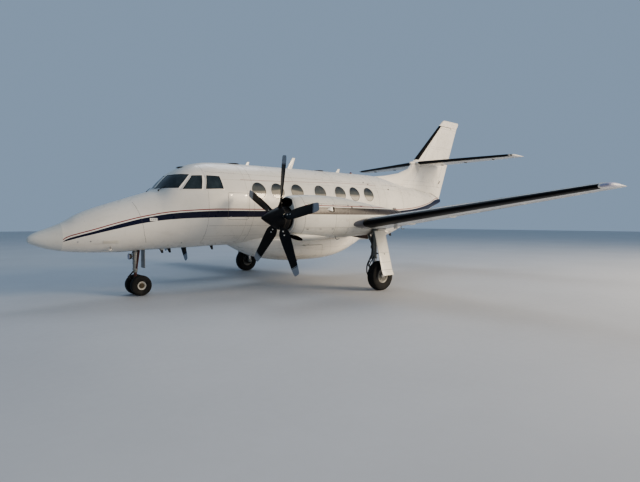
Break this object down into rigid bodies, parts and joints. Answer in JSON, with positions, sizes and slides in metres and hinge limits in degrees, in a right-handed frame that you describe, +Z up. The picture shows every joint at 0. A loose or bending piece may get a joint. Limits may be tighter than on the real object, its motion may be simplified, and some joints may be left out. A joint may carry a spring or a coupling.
{
  "type": "turboprop airliner",
  "caption": "Low-wing twin-turboprop commuter airliner, parked on its gear, with a cruciform tail and a belly baggage pod.",
  "frame": {"origin": "on the ground, under the middle of the overall length and on the aircraft's centreline", "axes": "+X forward to the nose, +Y to port, +Z up"},
  "size_m": [14.37, 15.85, 5.37],
  "materials": {
    "painted_skin": "gloss",
    "radome_skin": "satin",
    "pane": "clear",
    "propeller_black": "satin",
    "spinner_black": "gloss",
    "hot_metal": "satin",
    "gear_paint": "satin",
    "rim_paint": "satin",
    "tyre_rubber": "matte"
  },
  "bodies": {
    "airframe": {"fuselage": "painted_skin", "radome": "radome_skin", "port_windscreen": "pane", "starboard_windscreen": "pane", "port_direct_vision_window": "pane", "starboard_direct_vision_window": "pane", "port_rear_cockpit_window": "pane", "starboard_rear_cockpit_window": "pane", "belly_pod": "painted_skin", "fin": "painted_skin", "port_wing": "painted_skin", "port_nacelle": "painted_skin", "port_exhaust": "hot_metal", "port_engine": "hot_metal", "port_tailplane": "painted_skin", "port_main_leg": "gear_paint", "port_leg_door": "painted_skin", "starboard_wing": "painted_skin", "starboard_nacelle": "painted_skin", "starboard_exhaust": "hot_metal", "starboard_engine": "hot_metal", "starboard_tailplane": "painted_skin", "starboard_main_leg": "gear_paint", "starboard_leg_door": "painted_skin", "nose_leg": "gear_paint", "nose_door": "painted_skin"},
    "passenger_door": {"passenger_door": "painted_skin"},
    "pod_door": {"pod_door": "painted_skin"},
    "rudder": {"rudder": "painted_skin"},
    "port_flap": {"port_flap": "painted_skin"},
    "port_aileron": {"port_aileron": "painted_skin"},
    "port_elevator": {"port_elevator": "painted_skin"},
    "port_main_wheel": {"port_main_tyre": "tyre_rubber", "port_main_rim": "rim_paint"},
    "port_propeller": {"port_propeller": "propeller_black", "port_spinner": "spinner_black"},
    "starboard_flap": {"starboard_flap": "painted_skin"},
    "starboard_aileron": {"starboard_aileron": "painted_skin"},
    "starboard_elevator": {"starboard_elevator": "painted_skin"},
    "starboard_main_wheel": {"starboard_main_tyre": "tyre_rubber", "starboard_main_rim": "rim_paint"},
    "starboard_propeller": {"starboard_propeller": "propeller_black", "starboard_spinner": "spinner_black"},
    "nose_fork": {"nose_fork": "gear_paint"},
    "nose_wheels": {"nose_rims": "rim_paint", "nose_tyre_port": "tyre_rubber", "nose_tyre_starboard": "tyre_rubber"}
  },
  "joints": [
    {"name": "passenger_door_swing", "type": "hinge", "parent": "airframe", "child": "passenger_door", "pos_m": [-2.425, 0.663, 1.296], "axis": [-1, 0, 0], "range_deg": [0, 125]},
    {"name": "pod_door_swing", "type": "hinge", "parent": "airframe", "child": "pod_door", "pos_m": [0.835, 0.664, 0.979], "axis": [1, 0, 0], "range_deg": [0, 95]},
    {"name": "rudder_swing", "type": "hinge", "parent": "airframe", "child": "rudder", "pos_m": [-5.335, 0, 2.668], "axis": [-0.4767, 0, 0.8791], "range_deg": [-24, 24]},
    {"name": "port_flap_swing", "type": "hinge", "parent": "airframe", "child": "port_flap", "pos_m": [-0.25125, 1.06, 1.24554], "axis": [-0.0738, -0.9877, -0.1377], "range_deg": [0, 50]},
    {"name": "port_aileron_swing", "type": "hinge", "parent": "airframe", "child": "port_aileron", "pos_m": [0.0134, 4.96, 1.81834], "axis": [-0.0779, -0.9892, -0.1238], "range_deg": [-20, 20]},
    {"name": "port_elevator_swing", "type": "hinge", "parent": "airframe", "child": "port_elevator", "pos_m": [-5.375, 0.165, 3.655], "axis": [0, -1, 0], "range_deg": [-24, 16]},
    {"name": "port_main_wheel_spin", "type": "hinge", "parent": "airframe", "child": "port_main_wheel", "pos_m": [0.485, 2.97, 0.345], "axis": [0, 1, 0], "continuous": true},
    {"name": "port_propeller_spin", "type": "hinge", "parent": "airframe", "child": "port_propeller", "pos_m": [3.068, 2.514, 1.685], "axis": [1, 0, 0], "continuous": true},
    {"name": "starboard_flap_swing", "type": "hinge", "parent": "airframe", "child": "starboard_flap", "pos_m": [-0.25125, -1.06, 1.24554], "axis": [0.0738, -0.9877, 0.1377], "range_deg": [0, 50]},
    {"name": "starboard_aileron_swing", "type": "hinge", "parent": "airframe", "child": "starboard_aileron", "pos_m": [0.0134, -4.96, 1.81834], "axis": [0.0779, -0.9892, 0.1238], "range_deg": [-20, 20]},
    {"name": "starboard_elevator_swing", "type": "hinge", "parent": "airframe", "child": "starboard_elevator", "pos_m": [-5.375, -0.165, 3.655], "axis": [0, -1, 0], "range_deg": [-24, 16]},
    {"name": "starboard_main_wheel_spin", "type": "hinge", "parent": "airframe", "child": "starboard_main_wheel", "pos_m": [0.485, -2.97, 0.345], "axis": [0, 1, 0], "continuous": true},
    {"name": "starboard_propeller_spin", "type": "hinge", "parent": "airframe", "child": "starboard_propeller", "pos_m": [3.068, -2.514, 1.685], "axis": [1, 0, 0], "continuous": true},
    {"name": "nose_steer", "type": "hinge", "parent": "airframe", "child": "nose_fork", "pos_m": [5.145, 0, 0.6], "axis": [0, 0, 1], "range_deg": [-45, 45]},
    {"name": "nose_wheel_spin", "type": "hinge", "parent": "nose_fork", "child": "nose_wheels", "pos_m": [5.085, 0, 0.222], "axis": [0, 1, 0], "continuous": true}
  ],
  "couplings": [
    {"joint": "starboard_flap_swing", "follows": "port_flap_swing", "ratio": 1},
    {"joint": "starboard_aileron_swing", "follows": "port_aileron_swing", "ratio": -1},
    {"joint": "starboard_elevator_swing", "follows": "port_elevator_swing", "ratio": 1}
  ]
}
